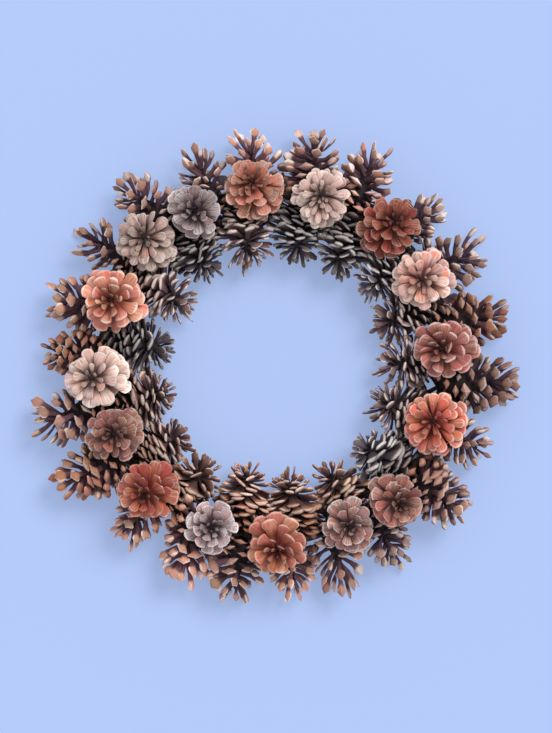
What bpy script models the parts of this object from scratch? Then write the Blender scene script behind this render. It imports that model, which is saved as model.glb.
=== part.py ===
"""Pinecone wreath lying face up: a ring of three twisted willow shoots that carries three rows of
open pine cones. One row points outwards, one row points inwards over the hole, and the cones of
the top row stand over the ring with their tips up, so that they read as flowers from above.

Units are metres, +Z is up, and the wreath rests on the plane z = 0 with its footprint centred
on the origin. A cone is a rachis, the woody spindle, rolled from a flat grid along the golden
angle, with one scale extruded from each of its cells.
"""

import math

import bmesh
import bpy
import numpy as np
from mathutils import Matrix, Vector
from mathutils.bvhtree import BVHTree

MM = 0.001

# Gaps between neighbours, and the flat worn on the scales that the wreath rests on
SEAT_GAP = 0.25 * MM
NEIGHBOUR_GAP = 0.6 * MM
FLAT_DEPTH = 2.4 * MM

# Ring of willow shoots, each one twisted round the two others
RING_RADIUS = 126 * MM
RING_HEIGHT = 8.5 * MM
SHOOTS = 3
SHOOT_RADIUS = 2.9 * MM
SHOOT_TURNS = 4
SHOOT_POINTS = 40
SHOOT_GAP = 0.6 * MM
SHOOT_OFFSET = (SHOOT_RADIUS + SHOOT_GAP / 2) / math.sin(math.pi / SHOOTS)
RING_ENVELOPE = SHOOT_OFFSET + SHOOT_RADIUS + NEIGHBOUR_GAP

# The cones spring from a line above the ring. A flower starts a little way above that line. A cone
# of the outer or inner row starts short of it where another faces it, at an angle under the first
# of the two, and crosses it where none does, at an angle over the second.
SADDLE_HEIGHT = 21.5 * MM
FLOWER_START = 9 * MM
FACING_ANGLES = (3, 7)
SIDE_STARTS = (3.5 * MM, -7 * MM)
SIDE_TIP_HEIGHT = 0.78

# Spiral lattice of the rachis: each cell touches the ones 3 and 5 places further on
GOLDEN_ANGLE = math.radians(137.508)
SHORT_STEP = 3
LONG_STEP = 5
CELL_SPAN = SHORT_STEP + LONG_STEP
RACHIS_FOOT = 0.05
RACHIS_CROWN = 0.06
RACHIS_WIDE = 0.19
RACHIS_NARROW = 0.07

# Scales in one kind of cone. Rows hold five scales each. The head is where the rachis ends, as a
# share of the length. Reach, width and thickness of the scales are shares of the girth and rise is
# a share of the length, at seven places from the stem end to the tip. A scale is widest at its
# rim, which lies at that share of its length, and its dish is the form of its upper side.
PLACES = (0.0, 0.15, 0.30, 0.50, 0.70, 0.85, 1.0)
FLOWER_SCALES = {
    "rows": 5,
    "head": 0.84,
    "reach": (0.80, 0.97, 1.00, 0.92, 0.68, 0.43, 0.12),
    "rise": (0.02, 0.10, 0.24, 0.48, 0.71, 0.88, 1.00),
    "width": (0.60, 0.66, 0.68, 0.60, 0.46, 0.34, 0.20),
    "thickness": (0.12, 0.15, 0.16, 0.15, 0.13, 0.12, 0.09),
    "rim": 0.76,
    "bow": 0.07,
    "dish": (0.30, 0.05, 0.70),
    "blunt": (3, 19),
}
SIDE_SCALES = {
    "rows": 4,
    "head": 0.72,
    "reach": (1.00, 1.08, 1.06, 1.03, 0.96, 0.76, 0.40),
    "rise": (-0.06, 0.02, 0.20, 0.50, 0.78, 0.93, 1.00),
    "width": (0.84, 0.82, 0.72, 0.60, 0.52, 0.44, 0.34),
    "thickness": (0.26, 0.29, 0.32, 0.32, 0.30, 0.27, 0.22),
    "rim": 0.92,
    "bow": 0.03,
    "dish": (0.10, 0.35, 0.60),
    "blunt": (0, 0),
}
TIP_WIDTH = 0.50
TIP_THICKNESS = 0.55

# How far a scale is drawn back where it meets a neighbour, how much less its width shrinks than
# its length there, and where along it that is tested
SMALLEST_SHARE = 0.1
SHARE_STEP = 0.02
KEPT_WIDTH = 1.5
BETWEEN = (0.25, 0.5, 0.75)

# Top row, tips up: angle round the ring, radius of the flower's middle, girth, length, tone
FLOWERS = (
    (97.5, 133, 23.5, 36, "salmon"),
    (75.0, 127, 21.5, 33, "beige"),
    (50.5, 135, 23.5, 36, "terracotta"),
    (30.5, 123, 23.0, 36, "salmon"),
    (5.7, 121, 24.5, 35, "terracotta"),
    (340.4, 121, 23.5, 35, "terracotta"),
    (311.8, 134, 21.5, 37, "umber"),
    (294.6, 128, 20.5, 34, "umber"),
    (270.6, 134, 23.5, 35, "salmon"),
    (248.3, 126, 20.0, 33, "silver"),
    (224.7, 133, 23.5, 36, "terracotta"),
    (203.2, 127, 22.5, 36, "umber"),
    (184.0, 132, 24.0, 33, "beige"),
    (158.4, 128, 25.0, 36, "salmon"),
    (135.8, 132, 22.5, 32, "beige"),
    (117.6, 126, 21.5, 34, "silver"),
)

# Outer row: angle at the tip, angle at the ring, radius at the tip, girth, lift of the tip
OUTWARD = (
    (97.0, 95.8, 174, 18.5, 6),
    (80.5, 78.6, 173, 20.0, 0),
    (64.8, 63.6, 175, 19.0, 0),
    (44.0, 47.6, 170, 15.5, 4),
    (29.3, 31.6, 177, 19.5, 0),
    (11.7, 14.6, 175, 18.5, 0),
    (356.1, 354.3, 180, 20.5, 0),
    (337.9, 337.6, 169, 17.0, 0),
    (321.7, 320.6, 178, 19.0, 10),
    (301.6, 303.4, 173, 17.5, 0),
    (287.2, 289.0, 173, 17.0, 0),
    (274.7, 274.2, 170, 16.5, 0),
    (259.8, 258.4, 177, 18.5, 0),
    (246.0, 242.8, 173, 20.0, 0),
    (229.0, 226.5, 173, 17.0, 0),
    (208.9, 211.4, 182, 19.0, 0),
    (193.5, 193.8, 183, 19.5, 0),
    (177.6, 175.6, 170, 16.5, 4),
    (163.6, 160.6, 175, 20.0, 0),
    (145.9, 144.0, 176, 16.5, 0),
    (130.2, 127.2, 176, 18.0, 0),
    (110.8, 111.2, 170, 18.0, 0),
)

# Inner row, the same five values
INWARD = (
    (0.3, 1.7, 74, 17.5, 0),
    (20.9, 21.0, 76, 17.5, 0),
    (38.9, 40.5, 81, 17.0, 3),
    (58.2, 61.0, 78, 17.5, 0),
    (78.2, 81.6, 76, 17.5, 0),
    (103.0, 103.2, 73, 18.5, 3),
    (124.7, 125.0, 80, 17.5, 0),
    (145.4, 148.5, 73, 18.0, 2),
    (172.2, 171.0, 76, 17.5, 0),
    (195.4, 192.6, 77, 18.0, 0),
    (217.3, 213.0, 81, 17.5, 2),
    (236.9, 233.4, 84, 17.5, 0),
    (254.8, 257.0, 74, 17.5, 0),
    (274.8, 278.0, 78, 18.0, 2),
    (294.7, 299.0, 81, 17.0, 0),
    (316.7, 320.5, 81, 18.5, 3),
    (339.5, 341.5, 74, 17.5, 0),
)

TONES = {
    "terracotta": (0.52, 0.20, 0.11),
    "salmon": (0.60, 0.34, 0.24),
    "beige": (0.62, 0.50, 0.42),
    "umber": (0.36, 0.20, 0.15),
    "silver": (0.48, 0.44, 0.43),
    "outward": (0.22, 0.14, 0.11),
    "inward": (0.17, 0.13, 0.11),
}
WILLOW_BARK = (0.20, 0.13, 0.08)


class Cone:
    """Where one cone lies, and how large it is: z runs along it from the stem end to the tip."""

    def __init__(self, name, tone, base, tip, girth, scales, spin):
        self.name = name
        self.tone = tone
        self.base = base
        self.girth = girth
        self.scales = scales
        self.length = (tip - base).length
        self.axis = (tip - base).normalized()
        turn = self.axis.to_track_quat("Z", "Y").to_matrix().to_4x4()
        self.matrix = Matrix.Translation(base) @ turn @ Matrix.Rotation(spin, 4, "Z")

    def crowding(self, point):
        """Distance of a point from the cone's axis, as a share of its girth."""
        along = max(0.0, min(self.length, (point - self.base).dot(self.axis)))
        return (point - self.base - self.axis * along).length / self.girth


def polar(angle, radius, height):
    turn = math.radians(angle)
    return Vector((radius * math.cos(turn), radius * math.sin(turn), height))


def flower_cones():
    """The top row. A cone leans in or out, but it still springs from the line above the ring."""
    cones = []
    for number, (angle, radius, girth, length, tone) in enumerate(FLOWERS, 1):
        root = polar(angle, RING_RADIUS, SADDLE_HEIGHT)
        middle_height = SADDLE_HEIGHT + FLOWER_START + length * MM / 2
        axis = (polar(angle, radius * MM, middle_height) - root).normalized()
        base = root + axis * FLOWER_START
        tip = base + axis * length * MM
        name = f"flower_cone_{number:02d}"
        spin = number * GOLDEN_ANGLE
        cones.append(Cone(name, tone, base, tip, girth * MM, FLOWER_SCALES, spin))
    return cones


def side_cones(row, facing_row, kind, tone):
    """The outer or inner row. A tip lies as high as its cone is stout, so that the cone rests."""
    cones = []
    for number, (tip_angle, ring_angle, radius, girth, lift) in enumerate(row, 1):
        root = polar(ring_angle, RING_RADIUS, SADDLE_HEIGHT)
        tip = polar(tip_angle, radius * MM, (girth * SIDE_TIP_HEIGHT + lift) * MM)
        facing = min(abs((other[1] - ring_angle + 180) % 360 - 180) for other in facing_row)
        start = float(np.interp(facing, FACING_ANGLES, SIDE_STARTS))
        base = root + (tip - root).normalized() * start
        name = f"{kind}_cone_{number:02d}"
        spin = number * GOLDEN_ANGLE
        cones.append(Cone(name, tone, base, tip, girth * MM, SIDE_SCALES, spin))
    return cones


def ring_distance(point):
    """Distance of a point from the ring's middle line."""
    outward = math.hypot(point.x, point.y) - RING_RADIUS
    return math.hypot(outward, point.z - RING_HEIGHT)


def lattice_point(cone, place, places):
    """Corner number place of the rachis, counted along its spiral."""
    share = place / places
    radius = cone.girth * (RACHIS_WIDE + (RACHIS_NARROW - RACHIS_WIDE) * share)
    height = cone.length * (RACHIS_FOOT + (cone.scales["head"] - RACHIS_FOOT) * share)
    turn = place * GOLDEN_ANGLE
    return Vector((radius * math.cos(turn), radius * math.sin(turn), height))


def rolled_rachis(cone, seat):
    """A flat grid rolled up along the spiral, with its side edges joined. Its top end is closed by
    a low point and its foot by a stalk that ends at the seat."""
    shape = bmesh.new()
    columns, rows = LONG_STEP, cone.scales["rows"]
    bmesh.ops.create_grid(shape, x_segments=columns, y_segments=rows, size=1)
    places = columns * rows + CELL_SPAN - 1
    number = shape.verts.layers.int.new("place")
    for corner in shape.verts:
        column = round((corner.co.x + 1) / 2 * columns)
        row = round((corner.co.y + 1) / 2 * rows)
        corner[number] = column * SHORT_STEP + row * LONG_STEP
        corner.co = lattice_point(cone, corner[number], places)
    bmesh.ops.remove_doubles(shape, verts=shape.verts[:], dist=1e-6)
    cells = shape.faces[:]
    open_edges = [edge for edge in shape.edges if edge.is_boundary]
    ends = bmesh.ops.holes_fill(shape, edges=open_edges, sides=0)["faces"]
    for end in ends:
        middle = bmesh.ops.poke(shape, faces=[end])["verts"][0]
        at_tip = middle.co.z > cone.length / 2
        crown = Vector((0, 0, cone.length * (cone.scales["head"] + RACHIS_CROWN)))
        middle.co = crown if at_tip else seat
    return shape, number, cells


def scale_corners(cone, root, index, count):
    """Corners of a scale's rim and of its end, each as under side, upper side, left and right.

    A corner is a pair: its place on the scale's middle line, and its offset from that line.
    """
    scales = cone.scales
    place = (index + 0.5) / count

    def share_of(name):
        return float(np.interp(place, PLACES, scales[name]))

    turn = math.atan2(root.y, root.x)
    outward = Vector((math.cos(turn), math.sin(turn), 0))
    across = Vector((-math.sin(turn), math.cos(turn), 0))
    tip = outward * cone.girth * share_of("reach")
    tip.z = cone.length * share_of("rise")
    upper = (tip - root).cross(across).normalized()
    if upper.z < 0:
        upper.negate()
    half_width = across * cone.girth * share_of("width") / 2
    thickness = upper * cone.girth * share_of("thickness")
    edge_rise, floor_rise, keel_drop = scales["dish"]
    middle = root.lerp(tip, scales["rim"]) - upper * (tip - root).length * scales["bow"]
    rim = (
        (middle, -thickness * keel_drop),
        (middle, thickness * floor_rise),
        (middle, half_width + thickness * edge_rise),
        (middle, -half_width + thickness * edge_rise),
    )
    first_blunt, last_blunt = scales["blunt"]
    if not first_blunt <= index < last_blunt:
        return rim, ((tip, Vector()),)
    half_thick = thickness * TIP_THICKNESS / 2
    end = (
        (tip, -half_thick),
        (tip, half_thick),
        (tip, half_width * TIP_WIDTH + half_thick),
        (tip, -half_width * TIP_WIDTH + half_thick),
    )
    return rim, end


def is_free(cone, neighbours, point):
    """True where a corner is above the floor, off the ring and nearer its own cone than any other."""
    if point.z < -FLAT_DEPTH or ring_distance(point) < RING_ENVELOPE:
        return False
    own = cone.crowding(point) + NEIGHBOUR_GAP / cone.girth
    return all(own < other.crowding(point) for other in neighbours)


def fitted(cone, neighbours, root, corners):
    """A scale's corners drawn back towards its root until all are free, and flat on the floor."""
    share = 1.0
    while True:
        width_share = min(1.0, KEPT_WIDTH * share)
        drawn = [root.lerp(line, share) + offset * width_share for line, offset in corners]
        middle = sum(drawn, Vector()) / len(drawn)
        along = [root.lerp(corner, step) for corner in (*drawn, middle) for step in BETWEEN]
        across = [middle.lerp(corner, step) for corner in drawn for step in BETWEEN]
        samples = [cone.matrix @ point for point in (*drawn, *along, *across)]
        if share < SMALLEST_SHARE or all(is_free(cone, neighbours, point) for point in samples):
            break
        share -= SHARE_STEP
    placed = [cone.matrix @ corner for corner in drawn]
    for point in placed:
        point.z = max(point.z, 0.0)
    return [cone.matrix.inverted() @ point for point in placed]


def grow_cone(cone, neighbours, seat):
    """Extrudes one scale from each cell of the rachis: its rim, then a blunt end or a point."""
    shape, number, cells = rolled_rachis(cone, seat)
    count = len(cells)
    extruded = bmesh.ops.extrude_discrete_faces(shape, faces=cells)["faces"]
    for cell in extruded:
        index = min(corner[number] for corner in cell.verts)
        sides = (index, index + CELL_SPAN, index + SHORT_STEP, index + LONG_STEP)
        root = cell.calc_center_median()
        rim, end = scale_corners(cone, root, index, count)
        placed = fitted(cone, neighbours, root, rim + end)
        for corner in cell.verts:
            corner.co = placed[sides.index(corner[number])]
        if len(end) == 1:
            bmesh.ops.poke(shape, faces=[cell])["verts"][0].co = placed[-1]
            continue
        face = bmesh.ops.extrude_discrete_faces(shape, faces=[cell])["faces"][0]
        for corner in face.verts:
            corner.co = placed[len(rim) + sides.index(corner[number])]
    bmesh.ops.recalc_face_normals(shape, faces=shape.faces[:])
    return shape


def wood_material(name, colour, roughness):
    found = bpy.data.materials.get(name)
    if found:
        return found
    material = bpy.data.materials.new(name)
    material.use_nodes = True
    shader = material.node_tree.nodes["Principled BSDF"]
    shader.inputs["Base Color"].default_value = (*colour, 1)
    shader.inputs["Roughness"].default_value = roughness
    shader.inputs["Metallic"].default_value = 0.0
    return material


def surface_of(bodies):
    """The surface of some finished pieces, in which the nearest point to a cone's base is found."""
    bpy.context.view_layer.update()
    graph = bpy.context.evaluated_depsgraph_get()
    corners, faces = [], []
    for body in bodies:
        evaluated = body.evaluated_get(graph)
        mesh = evaluated.to_mesh()
        faces += [[len(corners) + i for i in face.vertices] for face in mesh.polygons]
        corners += [body.matrix_world @ corner.co for corner in mesh.vertices]
        evaluated.to_mesh_clear()
    return BVHTree.FromPolygons(corners, faces)


def add_cone(cone, cones, carrier, collection):
    """One cone as its own object, laid in its place, with its stalk glued to the carrier."""
    touched = carrier.find_nearest(cone.base)[0]
    seat = touched + (cone.base - touched).normalized() * SEAT_GAP
    near = [
        other
        for other in cones
        if other is not cone
        and (other.base - cone.base).length < 2.2 * (cone.girth + other.girth)
    ]
    shape = grow_cone(cone, near, cone.matrix.inverted() @ seat)
    mesh = bpy.data.meshes.new(cone.name)
    shape.to_mesh(mesh)
    shape.free()
    mesh.materials.append(wood_material(f"{cone.tone}_cone", TONES[cone.tone], 0.8))
    body = bpy.data.objects.new(cone.name, mesh)
    body.matrix_world = cone.matrix
    collection.objects.link(body)
    return body


def add_shoot(number, collection):
    """One willow shoot: a closed loop that winds round the ring's middle line."""
    curve = bpy.data.curves.new(f"willow_shoot_{number}", "CURVE")
    curve.dimensions = "3D"
    curve.bevel_depth = SHOOT_RADIUS
    curve.bevel_resolution = 1
    spline = curve.splines.new("POLY")
    spline.points.add(SHOOT_POINTS - 1)
    for step, point in enumerate(spline.points):
        turn = 2 * math.pi * step / SHOOT_POINTS
        winding = turn * SHOOT_TURNS + 2 * math.pi * number / SHOOTS
        radius = RING_RADIUS + SHOOT_OFFSET * math.cos(winding)
        height = RING_HEIGHT + SHOOT_OFFSET * math.sin(winding)
        point.co = (radius * math.cos(turn), radius * math.sin(turn), height, 1)
    spline.use_cyclic_u = True
    curve.materials.append(wood_material("willow_bark", WILLOW_BARK, 0.75))
    body = bpy.data.objects.new(curve.name, curve)
    collection.objects.link(body)
    return body


def centre_footprint(cones, shoots):
    """Moves the whole wreath so that the middle of its footprint is the origin."""
    bpy.context.view_layer.update()
    corners = np.array(
        [body.matrix_world @ corner.co for body in cones for corner in body.data.vertices]
    )
    middle = (corners.min(axis=0) + corners.max(axis=0)) / 2
    for body in cones + shoots:
        body.location.x -= middle[0]
        body.location.y -= middle[1]


def main():
    for leftover in list(bpy.data.objects):
        bpy.data.objects.remove(leftover)
    collection = bpy.data.collections.new("pinecone_wreath")
    bpy.context.scene.collection.children.link(collection)
    shoots = [add_shoot(number, collection) for number in range(1, SHOOTS + 1)]
    top = flower_cones()
    lower = side_cones(OUTWARD, INWARD, "outer", "outward")
    lower += side_cones(INWARD, OUTWARD, "inner", "inward")
    ring = surface_of(shoots)
    bodies = [add_cone(cone, top + lower, ring, collection) for cone in lower]
    bed = surface_of(shoots + bodies)
    bodies += [add_cone(cone, top + lower, bed, collection) for cone in top]
    centre_footprint(bodies, shoots)


main()
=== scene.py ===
"""The looks of the pinecone wreath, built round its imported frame: the willow ring, the outer and
inner rows of cones, the row of flower-like cones, and the table, light and camera of the photo."""

import math

import bpy
import numpy as np
from mathutils import Matrix, Vector


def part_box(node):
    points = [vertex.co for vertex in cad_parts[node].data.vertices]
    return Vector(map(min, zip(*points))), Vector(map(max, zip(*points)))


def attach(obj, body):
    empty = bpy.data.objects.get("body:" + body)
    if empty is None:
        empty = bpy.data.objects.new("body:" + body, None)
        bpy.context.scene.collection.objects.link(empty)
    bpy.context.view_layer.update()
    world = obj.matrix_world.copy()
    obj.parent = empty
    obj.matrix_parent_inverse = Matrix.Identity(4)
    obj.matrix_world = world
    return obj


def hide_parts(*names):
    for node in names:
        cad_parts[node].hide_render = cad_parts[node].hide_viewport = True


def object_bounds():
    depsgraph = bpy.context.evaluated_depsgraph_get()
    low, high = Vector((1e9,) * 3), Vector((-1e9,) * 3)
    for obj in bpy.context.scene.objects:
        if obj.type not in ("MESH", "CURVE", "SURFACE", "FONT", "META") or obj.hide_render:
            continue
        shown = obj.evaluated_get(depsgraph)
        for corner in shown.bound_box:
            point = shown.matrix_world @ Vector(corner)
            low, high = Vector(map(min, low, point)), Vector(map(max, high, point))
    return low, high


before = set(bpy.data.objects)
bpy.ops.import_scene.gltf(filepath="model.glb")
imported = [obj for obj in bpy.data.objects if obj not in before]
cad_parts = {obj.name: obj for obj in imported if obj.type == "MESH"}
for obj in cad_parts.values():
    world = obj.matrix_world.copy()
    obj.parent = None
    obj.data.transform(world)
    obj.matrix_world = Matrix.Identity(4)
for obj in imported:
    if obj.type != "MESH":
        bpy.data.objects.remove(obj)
cad_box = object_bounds()

# The ring that carries the cones: three willow shoots with their bark left on, bent into loops and
# twisted round each other while they were green. The cones are glued on and hide nearly all of it.
MM = 0.001
RING_RADIUS = 126 * MM
RING_HEIGHT = 8.5 * MM
SHOOTS = 3
SHOOT_RADIUS = 2.9 * MM
SHOOT_GAP = 0.6 * MM
SHOOT_TURNS = 4
SHOOT_OFFSET = (SHOOT_RADIUS + SHOOT_GAP / 2) / math.sin(math.pi / SHOOTS)
SHOOT_POINTS = 240
SHOOT_ROUNDNESS = 3
BARE_SHARE = 0.95
BUDS_A_SHOOT = 17
BUD_SWELLING = 0.1
BUD_SHARPNESS = 3
BARK_BROWN = (0.115, 0.062, 0.036)
BARK_PALE = (0.26, 0.17, 0.11)
BARK_ROUGHNESS = (0.6, 0.85)
BARK_RELIEF = {"Strength": 0.6, "Distance": 0.4 * MM}
GRAIN = {"Scale": 700.0, "Detail": 5.0}
GRAIN_STEP = (0.35, 0.7)
PORES = {"Scale": 260.0}
PORE_STEP = (0.16, 0.08)

# The sockets of a mix node that are for colours. It has others of the same names for other kinds.
MIX_SHARE, MIX_FIRST, MIX_SECOND, MIX_RESULT = 0, 6, 7, 2

shoot_low, shoot_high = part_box("willow_shoot_1")
ring_middle = Vector(((shoot_low.x + shoot_high.x) / 2, (shoot_low.y + shoot_high.y) / 2, 0))


def add_node(tree, kind, inputs=None, **settings):
    """A node with its settings. Each input is a value, or another node's output to join it to."""
    made = tree.nodes.new(kind)
    for name, value in settings.items():
        setattr(made, name, value)
    for socket, value in (inputs or {}).items():
        if isinstance(value, bpy.types.NodeSocket):
            tree.links.new(value, made.inputs[socket])
        else:
            made.inputs[socket].default_value = value
    return made


def mix_colours(tree, share, first, second):
    """The first colour turning into the second as the share goes from 0 to 1."""
    inputs = {MIX_SHARE: share}
    for socket, colour in ((MIX_FIRST, first), (MIX_SECOND, second)):
        inputs[socket] = colour if isinstance(colour, bpy.types.NodeSocket) else (*colour, 1)
    return add_node(tree, "ShaderNodeMix", inputs, data_type="RGBA").outputs[MIX_RESULT]


def ramp(tree, value, start, end, low=0.0, high=1.0):
    """A smooth step from low to high as the value goes from start to end."""
    inputs = {"Value": value, "From Min": start, "From Max": end, "To Min": low, "To Max": high}
    stepped = add_node(tree, "ShaderNodeMapRange", inputs, interpolation_type="SMOOTHSTEP")
    return stepped.outputs["Result"]


def noise(tree, place, pattern):
    """A cloudy pattern from 0 to 1, as fine and as detailed as the pattern says."""
    return add_node(tree, "ShaderNodeTexNoise", {"Vector": place} | pattern).outputs["Fac"]


def deselect_all():
    """Leaves nothing selected, so that an operator acts only on what is chosen after it."""
    bpy.ops.object.select_all(action="DESELECT")


bark = bpy.data.materials.new("willow_bark")
bark.use_nodes = True
bark_tree = bark.node_tree
bark_shader = bark_tree.nodes["Principled BSDF"]
bark_place = add_node(bark_tree, "ShaderNodeTexCoord").outputs["Object"]
bark_grain = noise(bark_tree, bark_place, GRAIN)
bark_pores = add_node(bark_tree, "ShaderNodeTexVoronoi", {"Vector": bark_place} | PORES)
pore_distance = bark_pores.outputs["Distance"]
grain_share = ramp(bark_tree, bark_grain, *GRAIN_STEP)
pore_share = ramp(bark_tree, pore_distance, *PORE_STEP)
bark_colour = mix_colours(bark_tree, grain_share, BARK_BROWN, BARK_PALE)
bark_colour = mix_colours(bark_tree, pore_share, bark_colour, BARK_PALE)
bark_roughness = ramp(bark_tree, bark_grain, 0, 1, *BARK_ROUGHNESS)
bark_bump = add_node(bark_tree, "ShaderNodeBump", {"Height": bark_grain} | BARK_RELIEF)
bark_tree.links.new(bark_colour, bark_shader.inputs["Base Color"])
bark_tree.links.new(bark_roughness, bark_shader.inputs["Roughness"])
bark_tree.links.new(bark_bump.outputs["Normal"], bark_shader.inputs["Normal"])

for number in range(1, SHOOTS + 1):
    curve = bpy.data.curves.new(f"willow_shoot_tube_{number}", "CURVE")
    curve.dimensions = "3D"
    curve.bevel_depth = SHOOT_RADIUS
    curve.bevel_resolution = SHOOT_ROUNDNESS
    spline = curve.splines.new("POLY")
    spline.points.add(SHOOT_POINTS - 1)
    for step, point in enumerate(spline.points):
        turn = 2 * math.pi * step / SHOOT_POINTS
        winding = turn * SHOOT_TURNS + 2 * math.pi * number / SHOOTS
        radius = RING_RADIUS + SHOOT_OFFSET * math.cos(winding)
        height = RING_HEIGHT + SHOOT_OFFSET * math.sin(winding)
        point.co = (radius * math.cos(turn), radius * math.sin(turn), height, 1)
        past_bud = abs(math.sin(turn * BUDS_A_SHOOT / 2 + number))
        point.radius = BARE_SHARE + BUD_SWELLING * (1 - past_bud) ** BUD_SHARPNESS
    spline.use_cyclic_u = True
    shoot = bpy.data.objects.new(curve.name, curve)
    bpy.context.scene.collection.objects.link(shoot)
    shoot.location = ring_middle
    deselect_all()
    shoot.select_set(True)
    bpy.context.view_layer.objects.active = shoot
    bpy.ops.object.convert(target="MESH")
    bpy.ops.object.transform_apply(location=True)
    bpy.ops.object.shade_smooth()
    shoot = bpy.context.object
    shoot.data.materials.clear()
    shoot.data.materials.append(bark)
    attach(shoot, "root")
    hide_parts(f"willow_shoot_{number}")

# The plan of the wreath. Two rows of cones lie on their sides, tips out and tips in over the hole,
# and sixteen open cones stand over the ring, tips up, each leaning a little in or out.
GOLDEN_ANGLE = math.radians(137.508)

# Each cone's axis passes through its saddle, a point over the ring. A flower starts further up, and
# the tip of a side cone comes down to a share of its girth above the table.
SADDLE_HEIGHT = 21.5 * MM
FLOWER_START = 9 * MM
SIDE_TIP_HEIGHT = 0.78

# Where a side cone starts, from its saddle towards its tip: on its own side if a cone of the other
# row starts within the first angle of it, and across the ring if none does within the second
FACING_ANGLES = (3, 7)
SIDE_STARTS = (3.5 * MM, -7 * MM)

# How light a side cone is, as a share of the colours of its tone
SHADES = {"dark": 0.75, "dim": 0.9, "even": 1.0, "light": 1.2, "pale": 1.4}

# Outer row, in degrees and millimetres: angle at the tip, angle at the ring, radius at the tip, girth,
# lift of the tip, tone, shade
OUTWARD = (
    (97.0, 95.8, 174, 18.5, 6, "honey", "pale"),
    (80.5, 78.6, 173, 20.0, 0, "tan", "even"),
    (64.8, 63.6, 175, 19.0, 0, "tan", "light"),
    (44.0, 47.6, 170, 15.5, 4, "ash", "light"),
    (29.3, 31.6, 177, 19.5, 0, "ash", "even"),
    (11.7, 14.6, 175, 18.5, 0, "russet", "dark"),
    (356.1, 354.3, 180, 20.5, 0, "tan", "dark"),
    (337.9, 337.6, 169, 17.0, 0, "tan", "dim"),
    (321.7, 320.6, 178, 19.0, 10, "tan", "dim"),
    (301.6, 303.4, 173, 17.5, 0, "ash", "dim"),
    (287.2, 289.0, 173, 17.0, 0, "tan", "even"),
    (274.7, 274.2, 170, 16.5, 0, "honey", "light"),
    (259.8, 258.4, 177, 18.5, 0, "tan", "even"),
    (246.0, 242.8, 173, 20.0, 0, "honey", "pale"),
    (229.0, 226.5, 173, 17.0, 0, "honey", "light"),
    (208.9, 211.4, 182, 19.0, 0, "russet", "even"),
    (193.5, 193.8, 183, 19.5, 0, "tan", "even"),
    (177.6, 175.6, 170, 16.5, 4, "russet", "dim"),
    (163.6, 160.6, 175, 20.0, 0, "honey", "even"),
    (145.9, 144.0, 176, 16.5, 0, "tan", "dim"),
    (130.2, 127.2, 176, 18.0, 0, "tan", "even"),
    (110.8, 111.2, 170, 18.0, 0, "tan", "even"),
)

# Inner row, the same values
INWARD = (
    (0.3, 1.7, 74, 17.5, 0, "peat", "pale"),
    (20.9, 21.0, 76, 17.5, 0, "peat", "light"),
    (38.9, 40.5, 81, 17.0, 3, "soot", "pale"),
    (58.2, 61.0, 78, 17.5, 0, "soot", "even"),
    (78.2, 81.6, 76, 17.5, 0, "soot", "even"),
    (103.0, 103.2, 73, 18.5, 3, "peat", "light"),
    (124.7, 125.0, 80, 17.5, 0, "soot", "dark"),
    (145.4, 148.5, 73, 18.0, 2, "peat", "pale"),
    (172.2, 171.0, 76, 17.5, 0, "soot", "dim"),
    (195.4, 192.6, 77, 18.0, 0, "loam", "dim"),
    (217.3, 213.0, 81, 17.5, 2, "loam", "even"),
    (236.9, 233.4, 84, 17.5, 0, "chestnut", "dim"),
    (254.8, 257.0, 74, 17.5, 0, "chestnut", "light"),
    (274.8, 278.0, 78, 18.0, 2, "chestnut", "even"),
    (294.7, 299.0, 81, 17.0, 0, "chestnut", "even"),
    (316.7, 320.5, 81, 18.5, 3, "soot", "light"),
    (339.5, 341.5, 74, 17.5, 0, "peat", "light"),
)

# Top row: angle round the ring, radius of the flower's middle, girth, length, tone, habit, number of
# scales, shade as a share
FLOWERS = (
    (97.5, 133, 23.5, 36, "salmon", "cup", 66, 0.95),
    (75.0, 127, 21.5, 33, "beige", "fan", 68, 1.06),
    (50.5, 135, 23.5, 36, "terracotta", "cup", 54, 0.70),
    (30.5, 123, 23.0, 36, "rose", "fan", 50, 1.26),
    (5.7, 121, 24.5, 35, "faded", "thumb", 42, 0.96),
    (340.4, 121, 23.5, 35, "terracotta", "fan", 64, 1.3),
    (311.8, 134, 21.5, 37, "umber", "cup", 48, 1.25),
    (294.6, 128, 21.0, 34, "dusk", "cup", 46, 1.14),
    (270.6, 134, 23.5, 35, "coral", "thumb", 42, 1.03),
    (248.3, 126, 21.5, 33, "silver", "cup", 44, 1.32),
    (224.7, 133, 23.5, 36, "terracotta", "cup", 50, 1.05),
    (203.2, 127, 22.5, 36, "umber", "cup", 52, 1.06),
    (184.0, 132, 24.0, 33, "beige", "fan", 44, 1.34),
    (158.4, 128, 25.0, 36, "salmon", "thumb", 46, 1.4),
    (135.8, 132, 22.5, 32, "beige", "fan", 56, 0.80),
    (117.6, 126, 21.5, 34, "silver", "cup", 42, 0.90),
)


class Cone:
    """Where one cone lies and how large it is. Its z runs from the stem end to the tip, and its girth
    is a radius that the sizes of its scales are shares of."""

    def __init__(self, node, tone, base, tip, girth, spin, shade):
        self.node = node
        self.shade = shade
        self.tone = tone
        self.base = base
        self.girth = girth
        self.length = (tip - base).length
        self.axis = (tip - base).normalized()
        turn = self.axis.to_track_quat("Z", "Y").to_matrix().to_4x4()
        self.matrix = np.array(Matrix.Translation(base) @ turn @ Matrix.Rotation(spin, 4, "Z"))


def polar(angle, radius, height):
    """A point round the ring's middle."""
    turn = math.radians(angle)
    return ring_middle + Vector((radius * math.cos(turn), radius * math.sin(turn), height))


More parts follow.
